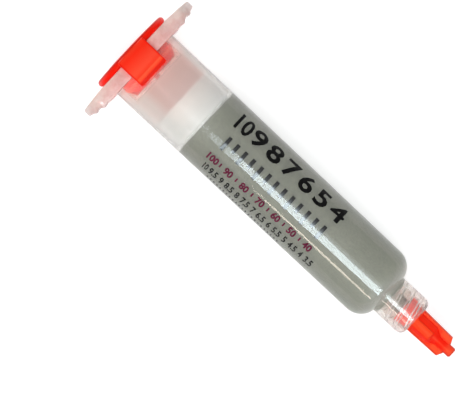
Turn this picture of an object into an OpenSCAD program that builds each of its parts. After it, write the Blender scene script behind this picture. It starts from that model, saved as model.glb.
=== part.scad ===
// Filled and capped dispensing syringe for solder paste, in millimetres.
// Every piece is drawn standing, with z = 0 at the rear face of the finger flange and the
// nozzle up. lie_down() then lays the syringe on one tab of its end cap: the nozzle points
// along +X, the finger wings along +Y and -Y, and the origin is under the middle.

/* [Tube] */
// Outside diameter of the tube at the finger flange
tube_d = 19.04; // [18:0.1:22]
// Radius that the tube loses by its draft, from the flange to the shoulder
tube_draft = 0.3; // [0:0.05:0.5]
// Thickness of the tube's wall at the shoulder, where it is thinnest
tube_wall = 1.27; // [0.8:0.01:1.8]
// Length from the flange face to the start of the shoulder
tube_len = 77; // [70:0.5:110]
// Outer radius of the round shoulder
shoulder_r = 4.95; // [4.5:0.05:6]
// Radius of the fillet round the inside base
fillet_r = 3.45; // [3:0.05:4]

/* [Finger flange] */
// Span across the two finger wings
flange_span = 35.4; // [32:0.1:42]
// Width across the two flats, beyond the tube on both sides together
flange_margin = 0.1; // [0.1:0.1:2]
// Radius of the wing corners in plan
flange_corner = 2.5; // [1:0.1:4]
// Thickness at the tube
flange_t = 3.5; // [3:0.1:5]
// Thickness at the wing tips
wing_tip_t = 1.95; // [1:0.05:2.4]
// How far the rear face leans forward at the wing tips
wing_rake = 0.45; // [0:0.05:1]
// Level ring of the flange outside the disc, before the wings slope
wing_margin = 0.15; // [0:0.05:1]
// Number of grip ridges under each wing
ridge_count = 2; // [1:1:3]
// Spacing of the grip ridges
ridge_pitch = 2.35; // [2:0.05:2.6]
// Radius of each rounded ridge
ridge_r = 0.75; // [0.5:0.05:0.9]
// How far a ridge stands out of the wing
ridge_h = 0.4; // [0.2:0.05:0.5]
// Distance from the wing's tip to the middle of the outermost ridge
ridge_inset = 2; // [1:0.1:2.5]

/* [Lock collar and nozzle] */
// Outside diameter of the collar
collar_d = 10.4; // [9.8:0.1:11]
// Length of the collar in front of the shoulder
collar_len = 8.89; // [7.5:0.1:12]
// Rounding of the collar's outer rim
collar_round = 2; // [0.4:0.1:2]
// Root diameter of the collar's inner thread
thread_root_d = 8; // [7.6:0.1:8.4]
// Height of the thread above its root
thread_h = 0.5; // [0.3:0.05:0.55]
// Advance of the thread in one turn
thread_lead = 5; // [4:0.25:6]
// Number of thread starts
thread_starts = 2; // [1:1:2]
// Width of the thread at its crest
thread_crest_w = 0.7; // [0.4:0.05:0.9]
// Width of the thread at its root
thread_root_w = 1.2; // [1:0.05:1.5]
// Angle at which the first thread starts
thread_angle = 152; // [0:1:360]
// Distance of the thread's start from the collar's floor
thread_margin = 0.05; // [0:0.05:0.5]
// Distance of the thread's end from the collar's rim
rim_margin = 0.6; // [0.6:0.05:1]
// Length of the funnel from the inside base to the hole through the nozzle
funnel_len = 2.4; // [1.5:0.1:2.6]
// Depth between the inside base and the collar's floor, at the nozzle
floor_t = 2.75; // [2.7:0.05:3.5]
// How far the collar's floor falls back towards the wall, as a cone
floor_drop = 1.3; // [0:0.05:1.4]
// Radius of the nozzle at its tip
nozzle_tip_r = 1.985; // [1.9:0.005:2.1]
// Loss of diameter for each millimetre of nozzle, a 6 per cent taper
nozzle_taper = 0.06; // [0.04:0.005:0.08]
// How far the nozzle stands out of the collar
nozzle_reach = 0.4; // [0:0.1:1]
// Diameter of the hole through the nozzle
nozzle_bore_d = 2.8; // [1.6:0.1:3]

/* [Piston and paste] */
// Length of the paste column, from the piston face to the inside base
fill_len = 57.35; // [30:0.5:58]
// Length of the piston
piston_len = 8; // [6:0.5:9]
// Wall of the hollow piston
piston_wall = 1.4; // [1:0.1:2]
// Thickness of the piston's closed front
piston_front_t = 1.8; // [1.4:0.1:2.5]
// Length of each wiping lip
piston_lip = 1.1; // [0.6:0.1:1.5]
// Relief of the piston between its lips
piston_relief = 0.15; // [0.1:0.05:0.5]
// Bevel of the front edge, along the axis
piston_bevel = 1.2; // [0.6:0.1:1.5]
// Radius that the bevel takes off the front edge
piston_bevel_w = 0.9; // [0.5:0.1:1.5]
// How far the paste stays back from the nozzle tip
paste_short = 0.3; // [0.1:0.1:2]

/* [End cap] */
// Diameter of the disc
disc_d = 21.7; // [21:0.1:24]
// Thickness of the disc at its middle
disc_t = 1.95; // [1.8:0.05:3]
// Rounding radius of the disc's rim
disc_edge = 0.75; // [0.5:0.05:0.8]
// Length of the plug inside the tube
plug_len = 7.14; // [6.5:0.1:9]
// Slack of the plug behind its sealing bead
plug_slack = 0.45; // [0.3:0.05:0.8]
// Wall of the hollow plug
plug_wall = 1.5; // [1:0.1:2]
// Length of the plug's bevelled nose
nose_len = 1.9; // [1:0.1:2.5]
// Radius that the nose loses along its bevel
nose_drop = 1.2; // [0.6:0.1:1.4]
// Radius of the sealing bead's section
bead_r = 0.6; // [0.5:0.05:0.8]
// Distance of the bead behind the start of the nose
bead_back = 0.7; // [0.6:0.1:1.5]
// Diameter of the small stud left by the moulding on the plug's face
stud_d = 1.4; // [0.8:0.1:2]
// Length of that stud
stud_len = 0.9; // [0.4:0.1:1.2]
// Radius that the stud loses along its length
stud_draft = 0.1; // [0:0.05:0.2]
// Width of each side tab
tab_w = 8.5; // [6:0.1:10]
// Thickness of each side tab
tab_t = 1.35; // [1.1:0.05:2]
// How far the tabs pass the front of the flange
tab_overhang = 3.2; // [2:0.05:4]
// Bevel at the free end of a tab
tab_bevel = 1; // [0.4:0.1:1.1]
// Rounding of a tab's rear corner
tab_round = 0.8; // [0.4:0.1:1]
// How far a tab starts in front of the disc's rounded rim
tab_step = 0.25; // [0.1:0.05:0.5]
// Depth of the shallow groove across each tab
tab_groove = 0.1; // [0.05:0.01:0.2]
// Radius of the groove's section
groove_r = 1.2; // [0.8:0.1:2]
// Distance of the groove from the tab's free end
groove_back = 1.9; // [1.8:0.1:3]

/* [Tip cap] */
// Radius of the hub and of the grip ribs beside it
hub_r = 3.15; // [2.9:0.05:3.2]
// Length of the hub inside the collar
hub_len = 4.3; // [3.5:0.1:5]
// How far the two lock lugs stand out of the hub
lug_h = 0.47; // [0.2:0.01:0.47]
// Length of the lugs along the hub
lug_len = 1.6; // [1:0.1:2]
// Arc that each lug covers, in degrees
lug_arc = 100; // [60:5:140]
// Radius of the grip's round core
grip_core_r = 2.4; // [2.3:0.05:2.6]
// Length of the short pair of ribs
rib_len = 5; // [3:0.1:7]
// Thickness of the short pair of ribs
rib_w = 1.9; // [1:0.1:2.2]
// Bevel at the end of the short pair of ribs
rib_bevel = 0.9; // [0.3:0.1:1.2]
// Length of the long pair of fins
fin_len = 9.25; // [7:0.05:12]
// Thickness of the long pair of fins
fin_w = 1.3; // [1:0.1:1.8]
// Bevel at the end of the long pair of fins
fin_bevel = 1.5; // [0.3:0.1:1.6]
// Radius that the ribs lose from hub to end
grip_draft = 0.25; // [0:0.05:0.4]
// Length of the cone between the core and the stub
cone_len = 2; // [1:0.1:2.5]
// How far the cone starts before the end of the short ribs
cone_back = 0.2; // [0:0.1:1]
// Radius of the round stub at the end
stub_r = 1.29; // [1.1:0.01:1.5]
// Length of the stub beyond the fins
stub_len = 2.15; // [1:0.05:5]
// Bevel round the stub's end
stub_bevel = 0.3; // [0.1:0.05:0.5]
// Turn of the cap about its axis, as it was screwed on
cap_turn = 11; // [0:1:90]

/* [Clearances] */
// Radial clearance of the piston and of the plug's bead in the bore
bore_gap = 0.05; // [0.02:0.01:0.1]
// Gap between the end cap and the flange
seat_gap = 0.05; // [0.02:0.01:0.1]
// Gap between each tab and the flat of the flange
tab_gap = 0.08; // [0.05:0.01:0.3]
// Radial clearance of the cap's tapered socket on the nozzle
taper_gap = 0.03; // [0.02:0.01:0.06]
// Gap between the tip cap's grip and the collar's rim
grip_gap = 0.1; // [0.05:0.05:1]
// Radial clearance of the tip cap's lugs inside the thread
lug_gap = 0.08; // [0.02:0.01:0.15]
// Room left in the tip cap's socket in front of the nozzle
socket_room = 0.3; // [0.1:0.1:0.6]
// Clearance of the paste from what holds it
paste_gap = 0.02; // [0.01:0.01:0.04]

/* [Hidden] */
$fn = 96;

// Small overlap where two shapes of one moulding are joined
bite = 0.3;

tube_r = tube_d / 2;
tube_front_r = tube_r - tube_draft;
bore_r = tube_front_r - tube_wall;
collar_r = collar_d / 2;
thread_root_r = thread_root_d / 2;
thread_crest_r = thread_root_r - thread_h;
nozzle_bore_r = nozzle_bore_d / 2;

shoulder_c = tube_front_r - shoulder_r;
fillet_c = bore_r - fillet_r;
base_z = tube_len + fillet_r;
collar_z = tube_len + sqrt(pow(shoulder_r, 2) - pow(collar_r - shoulder_c, 2));
rim_z = collar_z + collar_len;
funnel_z = base_z + funnel_len;
floor_z = base_z + floor_t;
nozzle_z = rim_z + nozzle_reach;

// Wings: the sloping part starts just outside the disc of the end cap
flange_w = tube_d + flange_margin;
wing_r = flange_span / 2;
wing_start = disc_d / 2 + wing_margin;
corner_x = flange_w / 2 - flange_corner;
corner_y = sqrt(pow(wing_r - flange_corner, 2) - pow(corner_x, 2));
ridge_last_y = wing_r - ridge_inset;

piston_r = bore_r - bore_gap;
piston_nose_r = piston_r - piston_bevel_w;
piston_face_z = base_z - fill_len;
piston_z = piston_face_z - piston_len;

bead_seal_r = bore_r - bore_gap;
plug_r = bore_r - plug_slack;
core_r = plug_r - plug_wall;
nose_z = plug_len - nose_len;
bead_z = nose_z - bead_back;
disc_r = disc_d / 2;
tab_in = flange_w / 2 + tab_gap;
tab_out = tab_in + tab_t;
tab_end = flange_t + tab_overhang;

lug_r = min(hub_r + lug_h, thread_crest_r - lug_gap);
grip_z = rim_z + grip_gap;
hub_z = grip_z - hub_len;
rib_end_z = grip_z + rib_len;
cone_z = rib_end_z - cone_back;
fin_end_z = grip_z + fin_len;
stub_end_z = fin_end_z + stub_len;

// Resting height of the axis, and the middle of the whole length
axis_h = max(tab_out, disc_r);
mid_z = (stub_end_z - seat_gap - disc_t) / 2;

// Outer radius of the tapered nozzle at height z
function nozzle_r(z) = nozzle_tip_r + nozzle_taper / 2 * (nozzle_z - z);

// Lays a standing piece down, nozzle along +X
module lie_down() {
    translate([-mid_z, 0, axis_h]) rotate([0, 90, 0]) children();
}

// Turns a half section, drawn as radius and height, round the axis
module turned() {
    rotate_extrude() children();
}

module quarter_disc(r) {
    intersection() {
        circle(r);
        square(r);
    }
}

// Half section of the space inside the barrel, from the rear face to the nozzle tip
module inside_section(inset = 0, top = nozzle_z) {
    square([bore_r - inset, tube_len]);
    translate([fillet_c, tube_len]) quarter_disc(fillet_r - inset);
    polygon([
        [0, 0],
        [fillet_c, 0],
        [fillet_c, base_z - inset],
        [nozzle_bore_r - inset, funnel_z - inset],
        [0, funnel_z - inset],
    ]);
    square([nozzle_bore_r - inset, top]);
}

// Half section of the barrel's outside up to the collar's rim
module outside_section() {
    polygon([[0, 0], [tube_r, 0], [tube_r, flange_t], [tube_front_r, tube_len], [0, tube_len]]);
    translate([shoulder_c, tube_len]) quarter_disc(shoulder_r);
    square([shoulder_c, tube_len + shoulder_r]);
    square([collar_r, rim_z - collar_round]);
    square([collar_r - collar_round, rim_z]);
    translate([collar_r - collar_round, rim_z - collar_round]) quarter_disc(collar_round);
}

// Half section of the ring-shaped space between the collar and the nozzle
module collar_space() {
    polygon([
        [nozzle_r(floor_z), floor_z],
        [thread_root_r, floor_z - floor_drop],
        [thread_root_r, nozzle_z + bite],
        [0, nozzle_z + bite],
        [0, nozzle_z],
        [nozzle_tip_r, nozzle_z],
    ]);
}

// One start of the inner thread: a ridge that winds up the collar's wall. Its section is a
// trapezium rooted in the wall, and its crest sinks to the wall at both ends of the thread.
module thread_ridge(start_angle) {
    steps_per_turn = 36;
    fade = 4;
    flank = (thread_root_w - thread_crest_w) / 2 / thread_h;
    wide = thread_root_w / 2 + flank * bite;
    low = floor_z + thread_root_w / 2 + thread_margin;
    high = rim_z - thread_root_w / 2 - rim_margin;
    steps = floor((high - low) / thread_lead * steps_per_turn);
    function sunk(i) = thread_h * max(0, 1 - (i + 0.5) / fade, 1 - (steps - i + 0.5) / fade);
    function corner(i, r, dz) = [
        r * cos(start_angle + i * 360 / steps_per_turn),
        r * sin(start_angle + i * 360 / steps_per_turn),
        low + i * thread_lead / steps_per_turn + dz,
    ];
    points = [
        for (i = [0:steps]) each [
            corner(i, thread_root_r + bite, -wide),
            corner(i, thread_crest_r + sunk(i), -thread_crest_w / 2),
            corner(i, thread_crest_r + sunk(i), thread_crest_w / 2),
            corner(i, thread_root_r + bite, wide),
        ]
    ];
    n = 4;
    sides = [
        for (i = [0:steps - 1], k = [0:n - 1]) each [
            [i * n + k, (i + 1) * n + k, i * n + (k + 1) % n],
            [i * n + (k + 1) % n, (i + 1) * n + k, (i + 1) * n + (k + 1) % n],
        ]
    ];
    first_end = [for (k = [0:n - 1]) k];
    last_end = [for (k = [n - 1:-1:0]) steps * n + k];
    polyhedron(points, concat(sides, [first_end, last_end]));
}

// Plan of the flange: a circle cut by two flats, with rounded corners
module flange_plan() {
    square([flange_w, 2 * corner_y], center = true);
    for (side = [0, 180]) {
        rotate(side) intersection() {
            circle(wing_r);
            polygon([[0, 0], [2 * corner_x, 2 * corner_y], [-2 * corner_x, 2 * corner_y]]);
        }
    }
    for (x = [-corner_x, corner_x], y = [-corner_y, corner_y]) {
        translate([x, y]) circle(flange_corner);
    }
}

// One wing seen along its ridges: y outwards, z towards the nozzle
module wing_side() {
    polygon([
        [0, 0],
        [wing_start, 0],
        [wing_r, wing_rake],
        [wing_r, wing_rake + wing_tip_t],
        [wing_start, flange_t],
        [0, flange_t],
    ]);
}

// Height of the sloping front face of a wing at the distance y from the axis
function wing_front(y) =
    flange_t - (flange_t - wing_rake - wing_tip_t) * (y - wing_start) / (wing_r - wing_start);

module wing_ridges() {
    for (i = [0:ridge_count - 1]) {
        y = ridge_last_y - i * ridge_pitch;
        translate([0, y, wing_front(y) + ridge_h - ridge_r]) rotate([0, 90, 0])
            cylinder(r = ridge_r, h = flange_w + bite, center = true);
    }
}

module flange() {
    intersection() {
        linear_extrude(flange_t + bite) flange_plan();
        for (side = [0, 180]) {
            rotate(side) union() {
                rotate([90, 0, 90]) translate([0, 0, -flange_w])
                    linear_extrude(2 * flange_w) wing_side();
                wing_ridges();
            }
        }
    }
}

// Clear moulding: flange, tube, shoulder, threaded lock collar and nozzle
module barrel() {
    color("gainsboro", 0.5) lie_down() {
        difference() {
            union() {
                flange();
                turned() outside_section();
                cylinder(r = nozzle_tip_r, h = nozzle_z);
            }
            turned() collar_space();
            turned() inside_section(0, nozzle_z + bite);
        }
        for (k = [0:thread_starts - 1]) {
            thread_ridge(thread_angle + k * 360 / thread_starts);
        }
    }
}

// Half section of the piston: a cup, open to the rear, with a wiping lip at each end
module piston_section() {
    lip_top = piston_face_z - piston_bevel;
    waist_r = piston_r - piston_relief;
    hollow_r = waist_r - piston_wall;
    hollow_z = piston_face_z - piston_front_t;
    polygon([
        [0, hollow_z],
        [hollow_r - piston_relief, hollow_z],
        [hollow_r, hollow_z - piston_relief],
        [hollow_r, piston_z],
        [piston_r - piston_relief, piston_z],
        [piston_r, piston_z + piston_relief],
        [piston_r, piston_z + piston_lip],
        [waist_r, piston_z + piston_lip + piston_relief],
        [waist_r, lip_top - piston_lip - piston_relief],
        [piston_r, lip_top - piston_lip],
        [piston_r, lip_top],
        [piston_nose_r, piston_face_z],
        [0, piston_face_z],
    ]);
}

module piston() {
    color("white") lie_down() turned() piston_section();
}

// Charge of paste, from the piston's face to just inside the nozzle tip
module paste() {
    color("gray") lie_down() turned() difference() {
        inside_section(paste_gap, nozzle_z - paste_short);
        polygon([
            [0, -bite],
            [bore_r, -bite],
            [bore_r, piston_face_z - piston_bevel + paste_gap],
            [piston_r, piston_face_z - piston_bevel + paste_gap],
            [piston_nose_r, piston_face_z + paste_gap],
            [0, piston_face_z + paste_gap],
        ]);
    }
}

// Half section of the end cap without its tabs: disc, hollow plug, bead and moulding stud
module end_cap_section() {
    rim_c = disc_r - disc_edge;
    hollow_z = plug_len - plug_wall;
    polygon([
        [0, hollow_z],
        [core_r - plug_wall, hollow_z],
        [core_r, hollow_z - plug_wall],
        [core_r, -seat_gap - disc_t],
        [rim_c, -seat_gap - 2 * disc_edge],
        [rim_c, -seat_gap],
        [plug_r, -seat_gap],
        [plug_r, nose_z],
        [plug_r - nose_drop, plug_len],
        [stud_d / 2, plug_len],
        [stud_d / 2 - stud_draft, plug_len + stud_len],
        [0, plug_len + stud_len],
    ]);
    translate([rim_c, -seat_gap - disc_edge]) circle(disc_edge);
    translate([bead_seal_r - bead_r, bead_z]) circle(bead_r);
}

// One tab seen from its edge: x outwards, y towards the nozzle
module tab_side() {
    rear = -seat_gap - 2 * disc_edge + tab_step;
    difference() {
        union() {
            polygon([
                [tab_in, rear],
                [tab_out - tab_round, rear],
                [tab_out - tab_round, rear + tab_round],
                [tab_out, rear + tab_round],
                [tab_out, tab_end - tab_bevel],
                [tab_out - tab_bevel, tab_end],
                [tab_in, tab_end],
            ]);
            translate([tab_out - tab_round, rear + tab_round]) mirror([0, 1])
                quarter_disc(tab_round);
        }
        translate([tab_out + groove_r - tab_groove, tab_end - groove_back]) circle(groove_r);
    }
}

// Orange-red moulding that closes the rear of the tube
module end_cap() {
    color("orangered") lie_down() {
        turned() end_cap_section();
        for (side = [0, 180]) {
            rotate(side) rotate([90, 0, 0]) translate([0, 0, -tab_w / 2])
                linear_extrude(tab_w) tab_side();
        }
    }
}

// Half section of the tip cap's round parts: hub, core, cone and stub
module tip_cap_section() {
    polygon([
        [0, hub_z],
        [hub_r, hub_z],
        [hub_r, grip_z],
        [grip_core_r, grip_z],
        [grip_core_r, cone_z],
        [stub_r, cone_z + cone_len],
        [stub_r, stub_end_z - stub_bevel],
        [stub_r - stub_bevel, stub_end_z],
        [0, stub_end_z],
    ]);
}

// Half section of the tapered socket that fits over the nozzle
module socket_section() {
    polygon([
        [0, hub_z - bite],
        [nozzle_r(hub_z - bite) + taper_gap, hub_z - bite],
        [nozzle_tip_r + taper_gap, nozzle_z],
        [nozzle_tip_r - socket_room, nozzle_z + socket_room],
        [0, nozzle_z + socket_room],
    ]);
}

// A pair of grip ribs on opposite sides: one plate across the core, with draft and a
// bevelled end, cut to the round of the hub and rooted in it
module rib_pair(len, w, bevel) {
    outer = hub_r - grip_draft * len / fin_len;
    end_r = hub_r - grip_draft;
    half_bevel = bevel / 4;
    intersection() {
        translate([0, w / 2, grip_z]) rotate([90, 0, 0]) linear_extrude(w) polygon([
            [-hub_r, -bite],
            [hub_r, -bite],
            [hub_r, 0],
            [outer, len - half_bevel],
            [outer - bevel, len + half_bevel],
            [bevel - outer, len + half_bevel],
            [-outer, len - half_bevel],
            [-hub_r, 0],
        ]);
        translate([0, 0, grip_z]) turned() polygon([
            [0, -2 * bite],
            [hub_r - 2 * bite, -2 * bite],
            [hub_r, 0],
            [end_r, fin_len + bevel],
            [0, fin_len + bevel],
        ]);
    }
}

// Orange-red closure screwed over the nozzle
module tip_cap() {
    color("orangered") lie_down() rotate(cap_turn) difference() {
        union() {
            turned() tip_cap_section();
            rib_pair(rib_len, rib_w, rib_bevel);
            rotate(90) rib_pair(fin_len, fin_w, fin_bevel);
            for (side = [0, 180]) {
                rotate(side) translate([0, 0, hub_z]) rotate_extrude(angle = lug_arc)
                    translate([hub_r - bite, 0]) square([lug_r - hub_r + bite, lug_len]);
            }
        }
        turned() socket_section();
    }
}

barrel();
piston();
paste();
end_cap();
tip_cap();
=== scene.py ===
"""Looks of the filled solder paste syringe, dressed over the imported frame."""

import math

import bmesh
import bpy
from mathutils import Matrix, Vector


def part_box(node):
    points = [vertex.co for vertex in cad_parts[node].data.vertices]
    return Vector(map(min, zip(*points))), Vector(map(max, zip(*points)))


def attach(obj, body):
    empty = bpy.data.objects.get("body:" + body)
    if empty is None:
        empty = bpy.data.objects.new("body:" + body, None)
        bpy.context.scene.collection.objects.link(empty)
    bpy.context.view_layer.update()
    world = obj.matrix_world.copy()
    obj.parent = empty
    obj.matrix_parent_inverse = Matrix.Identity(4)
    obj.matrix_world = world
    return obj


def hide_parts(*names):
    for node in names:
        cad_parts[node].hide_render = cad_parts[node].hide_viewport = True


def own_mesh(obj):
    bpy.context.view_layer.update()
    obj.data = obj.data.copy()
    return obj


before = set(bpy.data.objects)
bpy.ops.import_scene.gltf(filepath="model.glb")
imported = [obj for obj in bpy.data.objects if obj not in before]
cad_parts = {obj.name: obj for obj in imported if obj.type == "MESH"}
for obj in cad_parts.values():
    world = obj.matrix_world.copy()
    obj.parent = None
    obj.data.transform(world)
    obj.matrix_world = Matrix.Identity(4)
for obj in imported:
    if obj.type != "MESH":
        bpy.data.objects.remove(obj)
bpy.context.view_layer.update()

MM = 0.001

# The syringe is drawn standing, in millimetres: x and y across, a along its axis from the
# rear face of the flange. place() lays it down as the frame has it. A name's ending tells
# what it is: _R a radius, _A a place along the axis, _T a thickness, _H a height.
BARREL_LOW, BARREL_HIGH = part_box("barrel")
AXIS_H = (BARREL_LOW.z + BARREL_HIGH.z) / 2 / MM
MID_A = -BARREL_LOW.x / MM

# Barrel. A row of DOME, the end of the inside, is a radius and a height over BASE_A.
TUBE_R = 9.52
TUBE_FRONT_R = 9.22
BORE_R = 7.95
TUBE_LEN = 77.0
SHOULDER_R = 4.95
FILLET_R = 3.45
COLLAR_R = 5.2
COLLAR_ROUND = 2.0
THREAD_ROOT_R = 4.0
THREAD_H = 0.5
THREAD_LEAD = 5.0
THREAD_STARTS = 2
THREAD_LOW_A = 83.85
THREAD_ANGLE = 150
THREAD_END = 1.2
THREAD_FADE = 0.7
THREAD_HALF_W = 0.5
THREAD_FLANK = 0.3
NOZZLE_TIP_R = 1.985
NOZZLE_TAPER = 0.03
NOZZLE_BORE_R = 1.4
NOZZLE_A = MID_A + BARREL_HIGH.x / MM
RIM_A = NOZZLE_A - 0.4
BASE_A = TUBE_LEN + FILLET_R
FLOOR_A = BASE_A + 3.3
FLOOR_DROP = 1.0
DOME = ((4.72, 0.32), (4.2, 1.1), (3.75, 1.65), (3.2, 2.05), (2.5, 2.4), (1.8, 2.65))
FUNNEL_END = 2.95

# Finger flange
FLANGE_T = 3.5
WING_R = 17.7
WING_TIP_T = 1.95
WING_RAKE = 0.45
WING_START = 11.0
FLAT_X = 9.57
CORNER_R = 2.5
RIDGE_Y = (15.7, 13.35)
RIDGE_R = 0.75
RIDGE_H = 0.4

# Piston and paste. A row of PISTON_NOSE is a step in from PISTON_R, and one back from the
# piston's face.
PISTON_FACE_A = 23.1
PISTON_LEN = 8.0
PISTON_R = 7.93
PISTON_FRONT_T = 1.8
PISTON_HOLLOW_R = 6.38
PISTON_ROUND = 0.15
PISTON_NOSE = ((0.03, 0.6), (0.07, 0.4), (0.12, 0.2), (0.17, 0.08), (0.35, 0.0))
PISTON_TRAVEL = 55.0
PASTE_OVERLAP = 0.01

# End cap. A row of TAB_GROOVE is a place along the tab and a depth.
DISC_R = 10.85
DISC_EDGE = 0.875
DISC_REAR_A = -2.0
SEAT_A = -0.05
PLUG_R = 7.5
PLUG_END_A = 7.14
PLUG_WALL = 1.5
NOSE_A = 5.24
NOSE_DROP = 1.2
BEAD_A = 4.54
BEAD_R = 0.6
STUD_R = 0.7
STUD_LEN = 0.9
TAB_W = 8.5
TAB_IN = 9.65
TAB_OUT = 11.0
TAB_REAR_A = -1.3
TAB_END_A = 6.7
TAB_BEVEL = 1.2
TAB_ROUND = 0.45
TAB_GROOVE = ((3.95, 0.0), (4.35, 0.05), (4.6, 0.08), (4.85, 0.05), (5.25, 0.0))

# Print. The scale starts at SCALE_A with the full charge.
INK_LIFT = 0.02
INK_STRIP = 0.3
SCALE_A = 30.0
ML_LENGTH = 5.04
FULL_ML = 10
ML_SHOWN = 7

# Steps round the axis, and the radius of the small flat face that ends a turned shape
AROUND = 288
POLE_R = 0.3


def place(x, y, a):
    """A point of the standing syringe, laid down, in metres."""
    return Vector(((a - MID_A) * MM, y * MM, (AXIS_H - x) * MM))


def polar(r, phi, a):
    """A point at the distance r from the axis, phi round from straight down."""
    return place(r * math.cos(phi), r * math.sin(phi), a)


def smooth(t):
    """0 to 1 for t from 0 to 1, with soft ends."""
    t = min(max(t, 0.0), 1.0)
    return t * t * (3 - 2 * t)


def span(first, last, steps):
    """Evenly spaced values from first to last."""
    return [first + (last - first) * i / steps for i in range(steps + 1)]


def arc(center_r, center_a, radius, start, end, steps):
    """Points of an arc in a half section; its angles are 0 outwards and 90 to the nozzle."""
    return [
        (
            center_r + radius * math.cos(math.radians(t)),
            center_a + radius * math.sin(math.radians(t)),
        )
        for t in span(start, end, steps)
    ]


def object_from(name, bm, sharp_deg=32):
    """Makes an object of a bmesh, smooth but for edges that turn more than sharp_deg."""
    bmesh.ops.recalc_face_normals(bm, faces=bm.faces)
    for face in bm.faces:
        face.smooth = True
    for edge in bm.edges:
        if len(edge.link_faces) == 2:
            edge.smooth = edge.calc_face_angle(0) < math.radians(sharp_deg)
    mesh = bpy.data.meshes.new(name)
    bm.to_mesh(mesh)
    bm.free()
    obj = bpy.data.objects.new(name, mesh)
    bpy.context.scene.collection.objects.link(obj)
    return obj


def add_rings(bm, rings, closed=False):
    """Joins rings of points with quads. An open stack gets a flat face at each end."""
    rows = [[bm.verts.new(p) for p in ring] for ring in rings]
    around = len(rows[0])
    pairs = list(zip(rows, rows[1:]))
    if closed:
        pairs.append((rows[-1], rows[0]))
    for low, high in pairs:
        for k in range(around):
            m = (k + 1) % around
            bm.faces.new((low[k], low[m], high[m], high[k]))
    if not closed:
        bm.faces.new(rows[0])
        bm.faces.new(rows[-1])


def round_ring(r, a):
    return [polar(r, 2 * math.pi * k / AROUND, a) for k in range(AROUND)]


def add_lathe(bm, section):
    """Turns a half section round the axis; its two ends get flat faces."""
    add_rings(bm, [round_ring(r, a) for r, a in section])


def flange_edge(phi):
    """Distance from the axis to the flange's outline in the direction phi."""
    c = abs(math.cos(phi))
    s = abs(math.sin(phi))
    corner_x = FLAT_X - CORNER_R
    corner_y = math.sqrt((WING_R - CORNER_R) ** 2 - corner_x**2)
    if c > 0 and FLAT_X / c * s <= corner_y:
        return FLAT_X / c
    if math.atan2(s, c) >= math.atan2(corner_y, corner_x):
        return WING_R
    along = c * corner_x + s * corner_y
    return along + math.sqrt(along**2 - corner_x**2 - corner_y**2 + CORNER_R**2)


def wing_rear(y):
    """Place of the flange's rear face, which leans forward towards the wings' tips."""
    return WING_RAKE * max(0.0, abs(y) - WING_START) / (WING_R - WING_START)


def wing_front(y):
    """Place of the flange's front face, with the two grip ridges across each wing."""
    slope = (FLANGE_T - WING_RAKE - WING_TIP_T) / (WING_R - WING_START)
    front = FLANGE_T - slope * max(0.0, abs(y) - WING_START)
    for ridge_y in RIDGE_Y:
        middle = FLANGE_T - slope * (ridge_y - WING_START) + RIDGE_H - RIDGE_R
        aside = abs(y) - ridge_y
        if abs(aside) < RIDGE_R:
            front = max(front, middle + math.sqrt(RIDGE_R**2 - aside**2))
    return front


def flange_ring(share, face, drop=0.0, inset=0.0):
    """Ring on a face of the flange: share 0 is the tube, and 1 the flange's outline."""
    ring = []
    for k in range(AROUND):
        phi = 2 * math.pi * k / AROUND
        edge = flange_edge(phi)
        limit = min(inset, (edge - TUBE_R) * 0.45)
        r = TUBE_R + share * (edge - limit - TUBE_R)
        a = face(r * math.sin(phi))
        ring.append(polar(r, phi, a + drop))
    return ring


def thread_r(phi, a):
    """Radius of the collar's inner wall, with its two-start thread."""
    low = THREAD_LOW_A
    high = RIM_A - THREAD_END
    pitch = THREAD_LEAD / THREAD_STARTS
    turned = THREAD_LEAD * (phi - math.radians(THREAD_ANGLE)) / (2 * math.pi)
    off = (a - low - turned) % pitch
    off = min(off, pitch - off)
    fade = smooth((a - low) / THREAD_FADE + 1) * smooth((high - a) / THREAD_FADE + 1)
    return THREAD_ROOT_R - THREAD_H * fade * smooth((THREAD_HALF_W - off) / THREAD_FLANK)


def thread_ring(a):
    """Ring on the collar's threaded inner wall."""
    ring = []
    for k in range(AROUND):
        phi = 2 * math.pi * k / AROUND
        ring.append(polar(thread_r(phi, a), phi, a))
    return ring


def nozzle_r(a):
    return NOZZLE_TIP_R + NOZZLE_TAPER * (NOZZLE_A - a)


def tube_r(a):
    return TUBE_R + (TUBE_FRONT_R - TUBE_R) * (a - FLANGE_T) / (TUBE_LEN - FLANGE_T)


def inside_path(grow=0.0):
    """Half section of the inside, from the end of the bore to the nozzle's hole."""
    path = arc(BORE_R - FILLET_R, TUBE_LEN, FILLET_R + grow, 0, 76, 18)
    path += [(r + grow, BASE_A + up + grow) for r, up in DOME]
    path.append((NOZZLE_BORE_R + grow, BASE_A + FUNNEL_END + grow))
    return path


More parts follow.
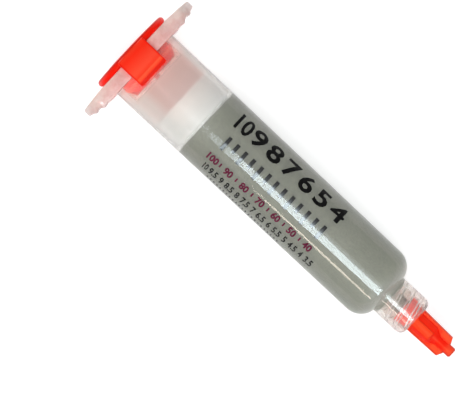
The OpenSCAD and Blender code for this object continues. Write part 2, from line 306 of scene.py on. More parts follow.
def make_barrel():
    """Clear moulding: flange, drafted tube, round shoulder, threaded lock collar, nozzle."""
    mouth = 0.2
    edge_round = 0.3
    corner = ((0, edge_round), (0.3 * edge_round, 0.3 * edge_round), (edge_round, 0))
    near_edge = 0.96
    rings = [round_ring(BORE_R + mouth, 0)]
    rings += [flange_ring(share, wing_rear) for share in span(0, near_edge, 24)]
    rings += [flange_ring(1, wing_rear, drop, inset) for drop, inset in corner]
    rings += [flange_ring(1, wing_front, -drop, inset) for drop, inset in reversed(corner)]
    rings += [flange_ring(share, wing_front) for share in span(near_edge, 0.02, 70)]
    section = [(TUBE_R + 0.1, FLANGE_T + 0.1), (TUBE_R, FLANGE_T + 0.4)]
    section += [(tube_r(a), a) for a in (5, 20, 40, 60, TUBE_LEN - 0.5)]
    shoulder_c = TUBE_FRONT_R - SHOULDER_R
    meets = math.degrees(math.acos((COLLAR_R - shoulder_c) / SHOULDER_R))
    section += arc(shoulder_c, TUBE_LEN, SHOULDER_R, 0, meets, 26)
    section += [(COLLAR_R, section[-1][1] + 0.15)]
    section += arc(COLLAR_R - COLLAR_ROUND, RIM_A - COLLAR_ROUND, COLLAR_ROUND, 0, 65, 14)
    rings += [round_ring(r, a) for r, a in section]
    foot_a = FLOOR_A - FLOOR_DROP
    rings += [thread_ring(a) for a in span(RIM_A - 0.24, foot_a + 0.1, 84)]
    inner = [(THREAD_ROOT_R - 0.1, foot_a + 0.05), (nozzle_r(FLOOR_A) + 0.1, FLOOR_A)]
    inner += [(nozzle_r(a), a) for a in span(FLOOR_A + 0.1, NOZZLE_A - 0.2, 4)]
    inner += [(NOZZLE_TIP_R - 0.06, NOZZLE_A - 0.05), (NOZZLE_TIP_R - 0.2, NOZZLE_A)]
    inner += [(NOZZLE_BORE_R + 0.1, NOZZLE_A), (NOZZLE_BORE_R, NOZZLE_A - 0.1)]
    inner += reversed(inside_path())
    inner += [(BORE_R, a) for a in (60, 40, 20, mouth)]
    rings += [round_ring(r, a) for r, a in inner]
    bm = bmesh.new()
    add_rings(bm, rings, closed=True)
    barrel = object_from("barrel_shell", bm)
    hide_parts("barrel")
    return barrel


def make_piston():
    """White piston with a hollow rear; its nose wipes the wall, so no paste gets past it."""
    rear_a = PISTON_FACE_A - PISTON_LEN
    hollow_a = PISTON_FACE_A - PISTON_FRONT_T
    section = [(POLE_R, hollow_a), (PISTON_HOLLOW_R - 0.2, hollow_a)]
    section += [(PISTON_HOLLOW_R, a) for a in (hollow_a - 0.2, rear_a)]
    section += [(PISTON_R - PISTON_ROUND, rear_a), (PISTON_R, rear_a + PISTON_ROUND)]
    section += [(PISTON_R, a) for a in (rear_a + 2, PISTON_FACE_A - 1.1)]
    section += [(PISTON_R - drop, PISTON_FACE_A - back) for drop, back in PISTON_NOSE]
    section.append((POLE_R, PISTON_FACE_A))
    bm = bmesh.new()
    add_lathe(bm, section)
    piston = object_from("piston_body", bm)
    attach(piston, "piston")
    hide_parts("piston")
    return piston


def add_tab(bm, side):
    """One flat tab over the flange: its side view drawn out across, with rounded edges.

    side is 1 for the lower tab and -1 for the upper one.
    """
    rear = (
        (TAB_IN, TAB_REAR_A),
        (TAB_OUT - 0.45, TAB_REAR_A),
        (TAB_OUT - 0.12, TAB_REAR_A + 0.14),
        (TAB_OUT, TAB_REAR_A + 0.5),
    )
    groove = tuple((TAB_OUT - depth, a) for a, depth in TAB_GROOVE)
    end = (
        (TAB_OUT, TAB_END_A - TAB_BEVEL),
        (TAB_OUT - 0.14, TAB_END_A - 0.75 * TAB_BEVEL),
        (TAB_OUT - 0.9 * TAB_BEVEL, TAB_END_A - 0.12),
        (TAB_OUT - TAB_BEVEL, TAB_END_A),
        (TAB_IN, TAB_END_A),
    )
    half = TAB_W / 2
    slices = [(half, 1.0), (half - 0.13, 0.35), (half - 0.3, 0.08), (half - 0.45, 0.0)]
    slices += [(-y, drop) for y, drop in reversed(slices)]
    rings = []
    for y, drop in slices:
        inset = TAB_ROUND * drop
        ring = []
        for x, a in rear + groove + end:
            x = min(x, TAB_OUT - inset) if x > TAB_IN else x
            ring.append(place(side * x, y, min(a, TAB_END_A - inset)))
        rings.append(ring)
    add_rings(bm, rings)


def make_end_cap():
    """Disc with a domed back and a rounded rim, sealing plug with its bead, and two tabs."""
    rim_c = DISC_R - DISC_EDGE
    hollow_r = PLUG_R - PLUG_WALL
    hollow_a = PLUG_END_A - PLUG_WALL
    section = [(POLE_R, hollow_a), (hollow_r - PLUG_WALL, hollow_a)]
    section += [(hollow_r, hollow_a - PLUG_WALL), (hollow_r, DISC_REAR_A)]
    section += arc(rim_c, SEAT_A - DISC_EDGE, DISC_EDGE, -90, 90, 14)
    section.append((PLUG_R, SEAT_A))
    section += arc(PLUG_R - 0.15, BEAD_A, BEAD_R, -75, 60, 8)
    section += [(PLUG_R, NOSE_A), (PLUG_R - NOSE_DROP, PLUG_END_A), (STUD_R, PLUG_END_A)]
    section += [(STUD_R - 0.1, PLUG_END_A + STUD_LEN), (0.2, PLUG_END_A + STUD_LEN)]
    bm = bmesh.new()
    add_lathe(bm, section)
    for side in (1, -1):
        add_tab(bm, side)
    cap = object_from("end_cap_body", bm, sharp_deg=25)
    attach(cap, "end_cap")
    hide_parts("end_cap")
    return cap


def make_paste():
    """The paste that the piston pushes, and the paste ahead of its last position.

    Both reach a hair into the barrel's wall, so that no air shows between. The first few
    points of the round shoulder, up to before_stop, belong to the paste that is pushed.
    """
    grow = PASTE_OVERLAP
    pole_r = 0.4
    wall_r = BORE_R + grow
    face_a = PISTON_FACE_A + 2 * grow
    stop_a = PISTON_FACE_A + PISTON_TRAVEL
    stop_r = wall_r - 0.18
    before_stop = 5
    column = bmesh.new()
    section = [(pole_r, face_a)] + [(wall_r, a) for a in (face_a, 40, 60, TUBE_LEN)]
    section += inside_path(grow)[1:before_stop]
    section += [(stop_r, stop_a), (pole_r, stop_a)]
    add_lathe(column, section)
    front = bmesh.new()
    section = [(pole_r, stop_a + grow), (stop_r - grow, stop_a + grow)]
    section += inside_path(grow)[before_stop:]
    section += [(NOZZLE_BORE_R + grow, NOZZLE_A - 0.5)]
    section += [(NOZZLE_BORE_R - 0.3, NOZZLE_A - 0.3), (pole_r, NOZZLE_A - 0.25)]
    add_lathe(front, section)
    pieces = [object_from("paste_column", column), object_from("paste_front", front)]
    for piece in pieces:
        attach(piece, "barrel")
        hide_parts("paste")
    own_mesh(pieces[0])
    return pieces


# Print: a generic scale in millilitres and in per cent of the full charge
def widen_strokes(verts, bold):
    """Moves the outline of flat letters outwards, with corners mitred up to a limit."""
    sharpest = 0.8
    moves = []
    for vert in verts:
        outward = Vector((0, 0, 0))
        for edge in vert.link_edges:
            if edge.is_boundary:
                along = edge.other_vert(vert).co - vert.co
                side = Vector((along.y, -along.x, 0)).normalized()
                inside = edge.link_faces[0].calc_center_median() - vert.co
                outward -= side if side.dot(inside) > 0 else -side
        moves.append(outward * (2 * bold / max(outward.length_squared, sharpest)))
    for vert, move in zip(verts, moves):
        vert.co += move


def wrapped_text(name, words, low_angle, size, bold):
    """Lays words round the tube, tops towards +Y: each is its text, middle and squeeze."""
    bm = bmesh.new()
    for text, middle_a, squeeze in words:
        curve = bpy.data.curves.new(name, "FONT")
        curve.body = text
        curve.size = size
        curve.align_x = "CENTER"
        curve.resolution_u = 3
        flat = bpy.data.objects.new(name, curve)
        bpy.context.scene.collection.objects.link(flat)
        mesh = flat.to_mesh()
        first = len(bm.verts)
        bm.from_mesh(mesh)
        bm.verts.ensure_lookup_table()
        letters = bm.verts[first:]
        widen_strokes(letters, bold)
        for vert in letters:
            vert.co.x = vert.co.x * squeeze + middle_a
        flat.to_mesh_clear()
        bpy.data.objects.remove(flat)
        bpy.data.curves.remove(curve)
    return wrap_ink(name, bm, low_angle)


def wrap_ink(name, bm, low_angle):
    """Cuts a flat drawing into narrow strips and bends it round the tube.

    low_angle is where its foot lies, in degrees from straight up towards +Y.
    """
    highest = max(vert.co.y for vert in bm.verts)
    for cut in span(0.25, highest, math.ceil(highest / INK_STRIP)):
        geometry = bm.verts[:] + bm.edges[:] + bm.faces[:]
        bmesh.ops.bisect_plane(bm, geom=geometry, plane_co=(0, cut, 0), plane_no=(0, 1, 0))
    for vert in bm.verts:
        r = tube_r(vert.co.x) + INK_LIFT
        phi = math.pi - math.radians(low_angle) - vert.co.y / r
        vert.co = polar(r, phi, vert.co.x)
    return object_from(name, bm)


def wrapped_ticks(name, ticks, low_angle, width):
    """Lays straight marks round the tube: each is its middle and its ends' two heights."""
    bm = bmesh.new()
    for middle, low, high in ticks:
        left, right = middle - width / 2, middle + width / 2
        corners = ((left, low), (right, low), (right, high), (left, high))
        bm.faces.new([bm.verts.new((x, y, 0)) for x, y in corners])
    return wrap_ink(name, bm, low_angle)


def make_print():
    """Numbers at each millilitre, marks and numbers at each half, per cents, fine marks."""
    black = ink("black_ink", (0.003, 0.003, 0.003), gloss=0.75)
    matte_black = ink("matte_black_ink", (0.002, 0.002, 0.002), gloss=0.1)
    magenta = ink("magenta_ink", (0.12, 0.010, 0.035), gloss=0.3)
    half = ML_LENGTH / 2
    fifth = ML_LENGTH / 5
    whole = [SCALE_A + k * ML_LENGTH for k in range(ML_SHOWN)]
    numbers = [(str(FULL_ML - k), a, 1.2 if k else 0.78) for k, a in enumerate(whole)]
    half_foot, top = 1.2, 3.8
    marks = [(SCALE_A + k * half, half_foot * (k % 2), top) for k in range(2 * ML_SHOWN - 1)]
    per_cents = [(str(100 - 10 * k), a, 0.9) for k, a in enumerate(whole)]
    per_cent_marks = [(a + half, 0.2, 1.4) for a in whole[:-1]]
    halves = [
        (f"{FULL_ML - k / 2:g}", SCALE_A + k * half, 0.62 if k else 0.5)
        for k in range(2 * ML_SHOWN)
    ]
    fifths = [(SCALE_A + k * fifth, 0, 1.0) for k in range(2, 25)]
    made = [
        wrapped_text("scale_numbers", numbers, low_angle=23.5, size=6.8, bold=0.15),
        wrapped_ticks("scale_marks", marks, low_angle=-14.5, width=0.95),
        wrapped_text("percent_numbers", per_cents, low_angle=-38.5, size=2.6, bold=0.11),
        wrapped_ticks("percent_marks", per_cent_marks, low_angle=-37.5, width=0.4),
        wrapped_text("half_numbers", halves, low_angle=-60.5, size=3.3, bold=0.08),
        wrapped_ticks("fine_marks", fifths, low_angle=-76, width=0.4),
    ]
    looks = [
        (matte_black, "black_ink"),
        (black, "black_ink"),
        (magenta, "magenta_ink"),
        (magenta, "magenta_ink"),
        (matte_black, "black_ink"),
        (matte_black, "black_ink"),
    ]
    for piece, (look, slot) in zip(made, looks):
        piece.data.materials.append(look)
        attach(piece, "barrel")


# Nodes
def node(tree, kind, **values):
    """Adds a node. A value sets the attribute or input of its name, with _ for a space."""
    made = tree.nodes.new(kind)
    for key, value in values.items():
        if hasattr(made, key):
            setattr(made, key, value)
        else:
            made.inputs[key.replace("_", " ")].default_value = value
    return made


def feed(tree, shader, **sources):
    """Links each source to the shader's input of its name, with _ for a space."""
    for key, source in sources.items():
        tree.links.new(source, shader.inputs[key.replace("_", " ")])


def new_material(name):
    """An empty material, its tree and the socket that takes its surface."""
    mat = bpy.data.materials.new(name)
    mat.use_nodes = True
    tree = mat.node_tree
    tree.nodes.clear()
    out = tree.nodes.new("ShaderNodeOutputMaterial")
    return mat, tree, out.inputs["Surface"]


def ramp(tree, source, stops):
    """Values by the source: each stop is a place from 0 to 1, and a colour or one number."""
    made = tree.nodes.new("ShaderNodeValToRGB")
    elements = made.color_ramp.elements
    while len(elements) < len(stops):
        elements.new(0.5)
    for element, (position, color) in zip(elements, stops):
        element.position = position
        element.color = (*color, 1) if isinstance(color, tuple) else (color,) * 3 + (1,)
    tree.links.new(source, made.inputs["Fac"])
    return made.outputs["Color"]


def noise(tree, scale, detail=3, roughness=0.5):
    """Noise fixed to the object; scale is about its number of waves in a metre."""
    coords = tree.nodes.new("ShaderNodeTexCoord")
    made = node(tree, "ShaderNodeTexNoise", Scale=scale, Detail=detail, Roughness=roughness)
    tree.links.new(coords.outputs["Object"], made.inputs["Vector"])
    return made.outputs["Fac"]


def bump(tree, height, strength, distance):
    made = node(tree, "ShaderNodeBump", Strength=strength, Distance=distance)
    tree.links.new(height, made.inputs["Height"])
    return made.outputs["Normal"]


def arithmetic(tree, operation, *sources):
    """One operation of a Math node on one or two linked values."""
    made = node(tree, "ShaderNodeMath", operation=operation)
    for source, socket in zip(sources, made.inputs):
        tree.links.new(source, socket)
    return made.outputs[0]


def where_both(tree, first, second):
    """1 where both factors are 1, and 0 where either is 0."""
    return arithmetic(tree, "MULTIPLY", first, second)


def where_either(tree, first, second):
    """The higher one of two factors."""
    return arithmetic(tree, "MAXIMUM", first, second)


def map_range(tree, source, first, last):
    """0 to 1 as the source, in metres, goes from first to last, in mm."""
    made = node(tree, "ShaderNodeMapRange", From_Min=first * MM, From_Max=last * MM)
    tree.links.new(source, made.inputs["Value"])
    return made.outputs["Result"]


def object_axis(tree, letter):
    """X, along the syringe, or Y, across it, in metres."""
    coords = tree.nodes.new("ShaderNodeTexCoord")
    parts = tree.nodes.new("ShaderNodeSeparateXYZ")
    tree.links.new(coords.outputs["Object"], parts.inputs[0])
    return parts.outputs[letter]


def axis_ramp(tree, stops):
    """Values along the syringe's axis: each stop is a place on it in mm, and a value."""
    first, last = stops[0][0], stops[-1][0]
    share = map_range(tree, object_axis(tree, "X"), first - MID_A, last - MID_A)
    return ramp(tree, share, [((a - first) / (last - first), value) for a, value in stops])


def across(tree, first_y, last_y):
    """0 to 1 between two places across the syringe, in mm towards +Y from its axis."""
    return map_range(tree, object_axis(tree, "Y"), first_y, last_y)


def sideways(tree, first_y, last_y):
    """0 to 1 between two distances to either side of the syringe's middle plane, in mm."""
    distance = arithmetic(tree, "ABSOLUTE", object_axis(tree, "Y"))
    return map_range(tree, distance, first_y, last_y)


def outwards(tree, first_r, last_r):
    """0 to 1 between two distances from the syringe's axis, in mm."""
    coords = tree.nodes.new("ShaderNodeTexCoord")
    from_axis = node(tree, "ShaderNodeVectorMath", operation="SUBTRACT")
    from_axis.inputs[1].default_value = (0, 0, AXIS_H * MM)
    crosswise = node(tree, "ShaderNodeVectorMath", operation="MULTIPLY")
    crosswise.inputs[1].default_value = (0, 1, 1)
    length = node(tree, "ShaderNodeVectorMath", operation="LENGTH")
    tree.links.new(coords.outputs["Object"], from_axis.inputs[0])
    tree.links.new(from_axis.outputs[0], crosswise.inputs[0])
    tree.links.new(crosswise.outputs[0], length.inputs[0])
    return map_range(tree, length.outputs["Value"], first_r, last_r)


def plain_color(tree, color):
    made = tree.nodes.new("ShaderNodeRGB")
    made.outputs[0].default_value = (*color, 1)
    return made.outputs[0]


def mix_colors(tree, blend_type, factor, first, second):
    """A Mix node on two colours; the factor is a number, or a source that is linked."""
    factor_input, first_input, second_input, color_output = 0, 6, 7, 2
    made = node(tree, "ShaderNodeMix", data_type="RGBA", blend_type=blend_type)
    if isinstance(factor, float):
        made.inputs[factor_input].default_value = factor
    else:
        tree.links.new(factor, made.inputs[factor_input])
    tree.links.new(first, made.inputs[first_input])
    tree.links.new(second, made.inputs[second_input])
    return made.outputs[color_output]


def blend(tree, factor, first, second):
    """first where the factor is 0, and second where it is 1."""
    return mix_colors(tree, "MIX", factor, first, second)


def product(tree, first, second):
    return mix_colors(tree, "MULTIPLY", 1.0, first, second)


def blend_shaders(tree, factor, first, second):
    """first where the factor is 0, and second where it is 1."""
    made = tree.nodes.new("ShaderNodeMixShader")
    tree.links.new(factor, made.inputs[0])
    tree.links.new(first.outputs[0], made.inputs[1])
    tree.links.new(second.outputs[0], made.inputs[2])
    return made.outputs[0]


# Looks. Each stop of a table is a place along the axis in mm, and a colour or a number.
# The tint tables hold the tube's own milky tint with painted light on it. In the middle
# table the pink near the cap is a painted red glow from the cap, and the darker pink over
# the air gap behind the plug is painted shade. Further on it is lighter at the shoulder and
# darker along the collar. The side table holds painted light and shade for the -Y side and
# the edges.
MIDDLE_TINT_AND_PAINTED_LIGHT = (
    (0, (1.0, 0.72, 0.66)),
    (6.6, (1.0, 0.76, 0.70)),
    (7.6, (0.89, 0.70, 0.65)),
    (9, (0.83, 0.65, 0.60)),
    (14.8, (0.83, 0.68, 0.64)),
    (15.4, (0.88, 0.81, 0.77)),
    (22, (0.87, 0.85, 0.825)),
    (24, (0.89, 0.885, 0.84)),
    (77, (0.89, 0.885, 0.84)),
    (81, (0.97, 0.94, 0.90)),
    (84, (0.81, 0.75, 0.70)),
    (87, (0.79, 0.69, 0.65)),
    (91, (0.80, 0.70, 0.66)),
)
SIDE_TINT_AND_PAINTED_LIGHT = (
    (0, (1.0, 0.74, 0.68)),
    (6, (0.98, 0.78, 0.72)),
    (9, (0.87, 0.80, 0.75)),
    (14.8, (0.87, 0.80, 0.76)),
    (16, (0.83, 0.80, 0.77)),
    (22, (0.84, 0.82, 0.79)),
    (77, (0.90, 0.90, 0.87)),
    (82, (0.92, 0.89, 0.85)),
    (86, (0.79, 0.71, 0.66)),
    (91, (0.80, 0.73, 0.69)),
)
WING_FRONT_TINT = (
    (0.2, (1.0, 1.0, 1.0)),
    (1.3, (0.99, 0.94, 0.95)),
    (2.2, (0.94, 0.82, 0.83)),
    (2.8, (0.89, 0.74, 0.75)),
    (3.5, (0.90, 0.78, 0.79)),
)
OVER_PLUG_CLEAR = ((0, 0.7), (3, 0.9), (6.8, 0.9), (8.5, 0.62))
BESIDE_PLUG_CLEAR = ((0, 0.5), (8.5, 0.62))
FRONT_CLEAR = (
    (22, 0.66),
    (24, 0.87),
    (78.5, 0.87),
    (81, 0.74),
    (82, 0.76),
    (83.2, 0.82),
    (84, 0.87),
)
# The end cap's reds carry painted light along the axis: painted shade on the rear rim,
# lighter over the disc's middle, a painted sheen brightening along the tab, painted shade at
# its groove, a painted highlight line past the groove and painted shade on the tab's
# bevelled end.
END_CAP_RED_AND_PAINTED_LIGHT = (
    (-2, (0.93, 0.010, 0.004)),
    (-0.9, (1.0, 0.044, 0.018)),
    (-0.1, (1.0, 0.022, 0.007)),
    (3.6, (1.0, 0.070, 0.034)),
    (4.05, (1.0, 0.060, 0.028)),
    (4.4, (1.0, 0.038, 0.016)),
    (4.6, (1.0, 0.040, 0.016)),
    (4.95, (1.0, 0.110, 0.045)),
    (5.2, (1.0, 0.115, 0.048)),
    (5.5, (1.0, 0.060, 0.024)),
    (5.75, (0.92, 0.010, 0.003)),
    (88, (1.0, 0.026, 0.008)),
)
# Painted light on the tip cap's core: painted shade over the cone, a painted highlight
# towards the stub's end and painted shade on its end face.
TIP_CAP_RED_AND_PAINTED_LIGHT = (
    (95.5, (1.0, 0.024, 0.008)),
    (96.6, (1.0, 0.013, 0.004)),
    (99.5, (1.0, 0.014, 0.004)),
    (101, (1.0, 0.074, 0.028)),
    (101.8, (1.0, 0.074, 0.028)),
    (102.1, (0.75, 0.060, 0.024)),
)
# Painted light: the tip cap's ribs and fins are painted lighter than its core, as raised
# parts that catch more light.
TIP_RIBS_PAINTED_LIGHTER = ((89.5, (1.0, 0.052, 0.014)), (104, (1.0, 0.052, 0.014)))


def tube_tint_and_painted_light(tree):
    """Tint of the tube and the collar with painted light: over the middle, to either side,
    and painted grey shade at the rims.
    """
    middle = axis_ramp(tree, MIDDLE_TINT_AND_PAINTED_LIGHT)
    side = axis_ramp(tree, SIDE_TINT_AND_PAINTED_LIGHT)
    one_side = blend(tree, across(tree, -3.6, -5.8), middle, side)
    both_sides = blend(tree, across(tree, 7.6, 8.8), one_side, side)
    # Painted shade: the tube's edges are painted grey.
    rim = plain_color(tree, (0.60, 0.58, 0.55))
    return blend(tree, sideways(tree, 8.85, 9.45), both_sides, rim)


def wing_tint_and_painted_glow(tree):
    """Tint of the wings: a painted red glow from the cap, paler outwards, mottled, pink at
    the front.
    """
    # Painted red glow: the wings are painted redder near the cap, fading outwards.
    outward = ramp(
        tree,
        outwards(tree, 9.5, 17.5),
        ((0, (0.95, 0.53, 0.48)), (0.3, (0.91, 0.59, 0.53)), (1, (0.86, 0.80, 0.73))),
    )
    mottle = ramp(
        tree,
        noise(tree, scale=800, detail=4, roughness=0.6),
        ((0.35, (0.93, 0.80, 0.79)), (0.65, (1, 1, 1))),
    )
    return product(tree, product(tree, outward, mottle), axis_ramp(tree, WING_FRONT_TINT))


def clearness(tree, on_wing):
    """How far light gets through: least in the wings, most over the plug and the paste."""
    over_plug = axis_ramp(tree, OVER_PLUG_CLEAR)
    beside_plug = axis_ramp(tree, BESIDE_PLUG_CLEAR)
    rear = blend(tree, sideways(tree, 7.2, 7.8), over_plug, beside_plug)
    front = axis_ramp(tree, FRONT_CLEAR)
    tube = blend(tree, axis_ramp(tree, ((15, 0), (16, 1))), rear, front)
    wing = ramp(tree, noise(tree, scale=300), ((0.3, 0.22), (0.7, 0.34)))
    return blend(tree, on_wing, tube, wing)


def moulded_waves(tree):
    """Normals of the faint waves of the moulding, which the ink on it follows."""
    waves = noise(tree, scale=420, detail=5, roughness=0.6)
    return bump(tree, waves, strength=0.08, distance=0.0003)


def clear_plastic():
    """Natural polypropylene: clear but milky, most so in the thick flange and the collar.

    Its tint carries painted light: a painted red glow from the cap beside it, which follows
    along the axis, painted light and shade to either side, and painted shade at the rims.
    Lamps shine through it as if it were thin, so that its shadow stays pale.
    """
    mat, tree, surface = new_material("clear_polypropylene")
    shader = node(tree, "ShaderNodeBsdfPrincipled", IOR=1.49)
    on_wing = outwards(tree, 9.6, 10.3)
    tube_gloss = axis_ramp(tree, ((82, 0.07), (84, 0.11)))
    wing_gloss = ramp(tree, on_wing, ((0, 0.07), (1, 0.26)))
    feed(
        tree,
        shader,
        Base_Color=blend(tree, on_wing, tube_tint_and_painted_light(tree), wing_tint_and_painted_glow(tree)),
        Transmission_Weight=clearness(tree, on_wing),
        Roughness=blend(tree, on_wing, tube_gloss, wing_gloss),
        Normal=moulded_waves(tree),
    )
    to_lamps = node(tree, "ShaderNodeBsdfTransparent", Color=(0.97, 0.97, 0.97, 1))
    path = tree.nodes.new("ShaderNodeLightPath")
    mixed = blend_shaders(tree, path.outputs["Is Shadow Ray"], shader, to_lamps)
    tree.links.new(mixed, surface)
    return mat


def solder_paste():
    """Fine metal powder in flux: a greenish grey with soft clouds and a fine grain."""
    mat, tree, surface = new_material("grey_solder_paste")
    shader = node(tree, "ShaderNodeBsdfPrincipled", Roughness=0.5)
    clouds = ramp(
        tree,
        noise(tree, scale=130, detail=5, roughness=0.65),
        (
            (0.3, (0.158, 0.167, 0.108)),
            (0.5, (0.181, 0.188, 0.127)),
            (0.7, (0.205, 0.208, 0.148)),
        ),
    )
    powder = noise(tree, scale=1900, roughness=0.7)
    grain = ramp(tree, powder, ((0.35, 0.78), (0.65, 1.05)))
    grit = bump(tree, noise(tree, scale=2400), strength=0.3, distance=0.0002)
    feed(tree, shader, Base_Color=product(tree, clouds, grain), Normal=grit)
    tree.links.new(shader.outputs[0], surface)
    return mat


def streaked_red_with_painted_light(tree):
    """Red along both caps, faintly streaked, with painted light and shade along the axis;
    the tip cap's ribs and fins are painted lighter than its core.
    """
    core = axis_ramp(tree, END_CAP_RED_AND_PAINTED_LIGHT + TIP_CAP_RED_AND_PAINTED_LIGHT)
    ribs = axis_ramp(tree, END_CAP_RED_AND_PAINTED_LIGHT + TIP_RIBS_PAINTED_LIGHTER)
    past_hub = axis_ramp(tree, ((96.8, 0), (97.5, 1)))
    on_fins = where_both(tree, sideways(tree, 1.3, 1.5), past_hub)
    on_ribs = where_either(tree, outwards(tree, 2.5, 2.75), on_fins)
    streaks = ramp(tree, noise(tree, scale=220, detail=4), ((0.3, 0.93), (0.7, 1.0)))
    return product(tree, blend(tree, on_ribs, core, ribs), streaks)


def painted_edge_shade(tree, color):
    """The colour with painted shade: darker at the sides of tabs, ribs and stub, and at the
    rear rim.
    """
    on_tabs = outwards(tree, 9.2, 9.5)
    on_rim = outwards(tree, 9.9, 10.3)
    past_collar = axis_ramp(tree, ((90.6, 0), (91, 1)))
    on_stub = axis_ramp(tree, ((99.9, 0), (100.3, 1)))
    # Painted shade: rounded sides and the rear rim, which turn from the light, get a deeper
    # red.
    edges = (
        (on_tabs, sideways(tree, 3.7, 4.1), (0.9, 0.010, 0.003)),
        (on_rim, axis_ramp(tree, ((-1.65, 1), (-1.2, 0))), (0.50, 0.008, 0.003)),
        (sideways(tree, 2.4, 2.7), past_collar, (0.64, 0.020, 0.008)),
        (sideways(tree, 0.85, 1.15), on_stub, (0.64, 0.020, 0.008)),
    )
    for first, second, painted_shade_color in edges:
        here = where_both(tree, first, second)
        color = blend(tree, here, color, plain_color(tree, painted_shade_color))
    return color


def red_plastic():
    """Polyethylene with a painted glow: a faint red emission, so it gives back a little more
    red than falls on it.
    """
    mat, tree, surface = new_material("orange_red_polyethylene")
    shader = node(
        tree,
        "ShaderNodeBsdfPrincipled",
        Roughness=0.36,
        Specular_IOR_Level=0.16,
        Specular_Tint=(1.0, 0.5, 0.2, 1),
        # A painted glow: a faint red emission, though the cap is no lamp.
        Emission_Color=(1.0, 0.0, 0.0, 1),
        Emission_Strength=0.06,
        Subsurface_Weight=0.2,
        Subsurface_Radius=(0.0015, 0.0002, 0.0001),
        Subsurface_Scale=1.0,
    )
    grain = bump(tree, noise(tree, scale=1500, detail=2), strength=0.12, distance=0.0002)
    feed(tree, shader, Base_Color=painted_edge_shade(tree, streaked_red_with_painted_light(tree)), Normal=grain)
    tree.links.new(shader.outputs[0], surface)
    return mat


def white_plastic():
    """Natural polyethylene: a faintly blue white, in which light spreads."""
    mat, tree, surface = new_material("white_polyethylene")
    shader = node(
        tree,
        "ShaderNodeBsdfPrincipled",
        Roughness=0.5,
        Specular_IOR_Level=0.2,
        Subsurface_Weight=0.5,
        Subsurface_Radius=(0.003, 0.003, 0.003),
        Subsurface_Scale=1.0,
    )
    clouds = noise(tree, scale=180, detail=4)
    color = ramp(tree, clouds, ((0.3, (0.76, 0.78, 0.77)), (0.7, (0.81, 0.83, 0.82))))
    feed(tree, shader, Base_Color=color)
    tree.links.new(shader.outputs[0], surface)
    return mat


def ink(name, color, gloss):
    """Screen-printed ink, a little lighter where it is worn."""
    mat, tree, surface = new_material(name)
    shader = node(tree, "ShaderNodeBsdfPrincipled", Roughness=0.12, Specular_IOR_Level=gloss)
    lighter = tuple(channel * 1.5 + 0.003 for channel in color)
    wear = noise(tree, scale=900, detail=4)
    worn = ramp(tree, wear, ((0.4, color), (0.75, lighter)))
    feed(tree, shader, Base_Color=worn, Normal=moulded_waves(tree))
    tree.links.new(shader.outputs[0], surface)
    return mat


def pale_floor():
    """White paper: it keeps the soft shadow, and is lifted to white where it is seen.

    It is lifted as much where it is seen through the clear plastic, and less in its gloss.
    """
    in_gloss = 0.75
    mat, tree, surface = new_material("pale_floor")
    paper = node(tree, "ShaderNodeBsdfDiffuse", Color=(0.85, 0.85, 0.85, 1))
    glow = node(tree, "ShaderNodeEmission", Color=(1, 1, 1, 1), Strength=0.5)
    lifted = tree.nodes.new("ShaderNodeAddShader")
    tree.links.new(paper.outputs[0], lifted.inputs[0])
    tree.links.new(glow.outputs[0], lifted.inputs[1])
    path = tree.nodes.new("ShaderNodeLightPath").outputs
    mirrored = node(tree, "ShaderNodeMath", operation="MULTIPLY")
    mirrored.inputs[1].default_value = in_gloss
    tree.links.new(path["Is Glossy Ray"], mirrored.inputs[0])
    seen = where_either(tree, path["Is Camera Ray"], path["Is Transmission Ray"])
    lift = where_either(tree, seen, mirrored.outputs[0])
    tree.links.new(blend_shaders(tree, lift, paper, lifted), surface)
    return mat


# Stage
def make_stage():
    """A plain floor, and a white world that is a little cooler and dimmer where unseen."""
    half = 3.0
    bm = bmesh.new()
    corners = ((-half, -half), (half, -half), (half, half), (-half, half))
    bm.faces.new([bm.verts.new((x, y, 0)) for x, y in corners])
    floor = object_from("floor", bm)
    floor.data.materials.append(pale_floor())
    world = bpy.data.worlds.new("studio")
    world.use_nodes = True
    bpy.context.scene.world = world
    tree = world.node_tree
    tree.nodes.clear()
    out = tree.nodes.new("ShaderNodeOutputWorld")
    back = node(tree, "ShaderNodeBackground", Color=(1, 1, 1, 1), Strength=1.0)
    fill = node(tree, "ShaderNodeBackground", Color=(0.97, 0.99, 1, 1), Strength=0.7)
    path = tree.nodes.new("ShaderNodeLightPath")
    mixed = blend_shaders(tree, path.outputs["Is Camera Ray"], fill, back)
    tree.links.new(mixed, out.inputs["Surface"])


def over(x, lean, distance):
    """A point over the syringe's axis: lean is its angle from straight up, towards -Y."""
    tilt = math.radians(lean)
    return (x, -distance * math.sin(tilt), AXIS_H + distance * math.cos(tilt))


def add_strip(name, start, end, width, radiance, color, shines=True):
    """A long soft box between two points in millimetres, facing the syringe's shoulder.

    One that shines is mirrored in gloss but adds no light to the scene; one that doesn't
    lights the scene and is mirrored nowhere.
    """
    first, last = Vector(start) * MM, Vector(end) * MM
    middle = (first + last) / 2
    length = (last - first).length
    lengthwise = (last - first) / length
    outward = middle - place(0, 0, TUBE_LEN)
    outward -= lengthwise * outward.dot(lengthwise)
    outward.normalize()
    data = bpy.data.lights.new(name, "AREA")
    data.shape = "RECTANGLE"
    data.size = length
    data.size_y = width * MM
    data.energy = radiance * math.pi * length * width * MM
    data.color = color
    lamp = bpy.data.objects.new(name, data)
    lamp.location = middle
    turned = Matrix((lengthwise, outward.cross(lengthwise), outward)).transposed()
    lamp.rotation_euler = turned.to_euler()
    lamp.visible_camera = False
    lamp.visible_glossy = shines
    lamp.visible_diffuse = not shines
    lamp.visible_transmission = not shines
    bpy.context.scene.collection.objects.link(lamp)


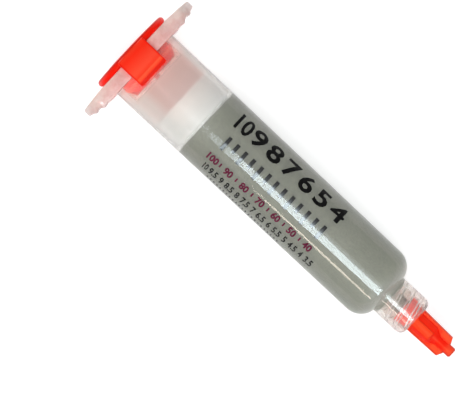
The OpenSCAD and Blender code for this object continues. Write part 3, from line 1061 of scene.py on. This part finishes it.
def make_lights():
    """A soft key for the light, and strips that the gloss mirrors.

    The window is the broad highlight. Its rear end comes in two steps, one strip behind the
    other. It runs on in pieces past the nozzle, so that its mirror image on the round
    shoulder runs straight on from that on the tube. The haze is the faint edge of that image
    towards +Y, and the slit is the narrow warm highlight towards -Y.
    """
    white, cool, warm = (1, 1, 1), (0.87, 1.0, 1.06), (1.0, 0.88, 0.74)
    key_lean, key_d = 18, 700
    key_ends = over(-650, key_lean, key_d), over(300, key_lean, key_d)
    add_strip("key", *key_ends, width=247, radiance=2.4, color=white, shines=False)
    window_lean, window_d, window_w = 16, 312, 108
    behind_d = window_d + 2
    window = (
        (over(-21, window_lean, window_d), over(250, window_lean, window_d), window_w, 5.5),
        (over(-13, window_lean, behind_d), over(250, window_lean, behind_d), window_w, 7.5),
        ((250, -89, 311), (620, -142, 311), 140, 13),
        ((620, -142, 311), (1100, -213, 311), 210, 13),
        ((1100, -213, 311), (2000, -346, 311), 350, 13),
    )
    for k, (start, end, width, radiance) in enumerate(window):
        add_strip(f"window_{k}", start, end, width, radiance, cool)
    haze_w = 30
    for k, (lean, radiance) in enumerate(((3, 2.8), (-2.5, 1.2))):
        ends = over(0, lean, window_d), over(700, lean, window_d)
        add_strip(f"haze_{k}", *ends, haze_w, radiance, cool)
    slit_radiance = 10.5
    slit = (
        ((-2, -216, 208), (70, -216, 208), 30),
        ((70, -216, 208), (300, -282, 208), 30),
        ((300, -282, 208), (760, -535, 208), 34),
    )
    for k, (start, end, width) in enumerate(slit):
        add_strip(f"slit_{k}", start, end, width, slit_radiance, warm)


def make_camera():
    """Straight above, as the photograph was taken; scale is in pixels for a millimetre."""
    scale = 4.27
    frame_width = 457
    aim_x, aim_y = -10.71, -9.66
    turn = 43.23
    distance = 2500
    data = bpy.data.cameras.new("camera")
    data.sensor_width = 36
    data.lens = scale * distance * data.sensor_width / frame_width
    data.clip_end = 20
    camera = bpy.data.objects.new("camera", data)
    camera.location = (aim_x * MM, aim_y * MM, (AXIS_H + distance) * MM)
    camera.rotation_euler = (0, 0, math.radians(turn))
    bpy.context.scene.collection.objects.link(camera)
    bpy.context.scene.camera = camera


make_camera()
make_stage()
make_lights()

barrel = make_barrel()
barrel.data.materials.append(clear_plastic())
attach(barrel, "barrel")
paste_look = solder_paste()
for piece in make_paste():
    piece.data.materials.append(paste_look)
make_print()

red = red_plastic()
make_piston().data.materials.append(white_plastic())
make_end_cap().data.materials.append(red)
tip_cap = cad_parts["tip_cap"].data
tip_cap.materials.clear()
tip_cap.materials.append(red)

bpy.context.scene.view_settings.view_transform = "Standard"
